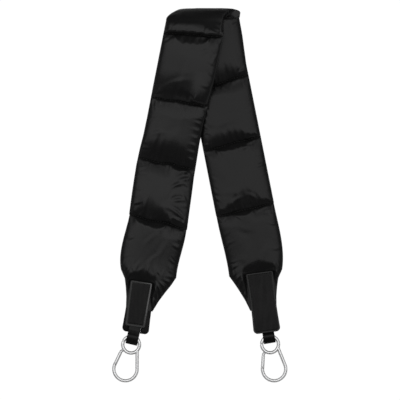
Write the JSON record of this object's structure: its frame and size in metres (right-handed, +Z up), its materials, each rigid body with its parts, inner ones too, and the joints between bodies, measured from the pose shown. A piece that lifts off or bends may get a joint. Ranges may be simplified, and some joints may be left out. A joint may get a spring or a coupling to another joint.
{
  "type": "padded bag strap",
  "caption": "Padded, quilted bag strap with leather ends and a spring-gate hook on a leather loop at each end, lying folded in two on a table.",
  "frame": {"origin": "middle of the folded strap's bounding box, on the table it lies on", "axes": "+Y towards the fold, so the hooks are at -Y; +X towards the low leg's hook; +Z up from the table"},
  "size_m": [0.2082, 0.4448, 0.0318],
  "materials": {
    "nylon": "satin woven nylon",
    "wadding": "matte polyester wadding",
    "tape": "matte woven webbing",
    "leather": "smooth satin",
    "hook_metal": "polished",
    "spring_steel": "drawn wire"
  },
  "bodies": {
    "low_leg": {"low_leg_face_fabric": "nylon", "low_leg_back_fabric": "nylon", "low_leg_webbing_tape": "tape", "fold_wadding": "wadding", "low_leg_wadding_1": "wadding", "low_leg_wadding_2": "wadding", "low_leg_wadding_3": "wadding"},
    "top_leg": {"top_leg_face_fabric": "nylon", "top_leg_back_fabric": "nylon", "top_leg_webbing_tape": "tape", "top_leg_wadding_1": "wadding", "top_leg_wadding_2": "wadding", "top_leg_wadding_3": "wadding"},
    "top_end": {"top_end_face_fabric": "nylon", "top_end_back_fabric": "nylon", "top_end_webbing_tape": "tape", "top_end_wadding": "wadding", "top_back_leather": "leather", "top_leather_overlay": "leather", "top_loop_tail": "leather"},
    "top_loop": {"top_leather_loop": "leather"},
    "top_hook": {"top_hook_wire": "hook_metal", "top_gate_pin": "hook_metal"},
    "top_gate": {"top_gate": "hook_metal", "top_plunger": "hook_metal", "top_gate_spring": "spring_steel"},
    "low_end": {"low_end_face_fabric": "nylon", "low_end_back_fabric": "nylon", "low_end_webbing_tape": "tape", "low_end_wadding": "wadding", "low_back_leather": "leather", "low_leather_overlay": "leather", "low_loop_tail": "leather"},
    "low_loop": {"low_leather_loop": "leather"},
    "low_hook": {"low_hook_wire": "hook_metal", "low_gate_pin": "hook_metal"},
    "low_gate": {"low_gate": "hook_metal", "low_plunger": "hook_metal", "low_gate_spring": "spring_steel"}
  },
  "joints": [
    {"name": "top_leg_lift", "type": "hinge", "parent": "low_leg", "child": "top_leg", "pos_m": [-0.00768, 0.18906, 0.02674], "axis": [-0.9981, 0.061, -0.006], "range_deg": [0, 80]},
    {"name": "top_end_lift", "type": "hinge", "parent": "top_leg", "child": "top_end", "pos_m": [-0.04952, -0.03128, 0.00725], "axis": [-0.9659, 0.2588, 0], "range_deg": [0, 75]},
    {"name": "low_end_lift", "type": "hinge", "parent": "low_leg", "child": "low_end", "pos_m": [0.05384, -0.01701, 0.00725], "axis": [-0.9736, -0.2283, 0], "range_deg": [0, 75]},
    {"name": "top_loop_swing", "type": "hinge", "parent": "top_end", "child": "top_loop", "pos_m": [-0.07763, -0.15999, 0.0043], "axis": [-0.9744, 0.225, 0], "range_deg": [0, 90]},
    {"name": "low_loop_swing", "type": "hinge", "parent": "low_end", "child": "low_loop", "pos_m": [0.08124, -0.16306, 0.0062], "axis": [-0.9869, -0.1616, 0], "range_deg": [0, 90]},
    {"name": "top_hook_turn", "type": "hinge", "parent": "top_loop", "child": "top_hook", "pos_m": [-0.08164, -0.17738, 0.00362], "axis": [-0.0078, -0.0339, 0.9994], "range_deg": [-55, 55]},
    {"name": "low_hook_turn", "type": "hinge", "parent": "low_loop", "child": "low_hook", "pos_m": [0.08353, -0.17702, 0.00362], "axis": [0.0056, -0.0343, 0.9994], "range_deg": [-55, 55]},
    {"name": "top_gate_swing", "type": "hinge", "parent": "top_hook", "child": "top_gate", "pos_m": [-0.09358, -0.18549, 0.00325], "axis": [-0.0078, -0.0339, 0.9994], "range_deg": [0, 28], "stiffness_Nm_per_rad": 0.03, "springref_deg": -28.65},
    {"name": "low_gate_swing", "type": "hinge", "parent": "low_hook", "child": "low_gate", "pos_m": [0.07556, -0.18905, 0.00325], "axis": [0.0056, -0.0343, 0.9994], "range_deg": [0, 28], "stiffness_Nm_per_rad": 0.03, "springref_deg": -28.65}
  ]
}
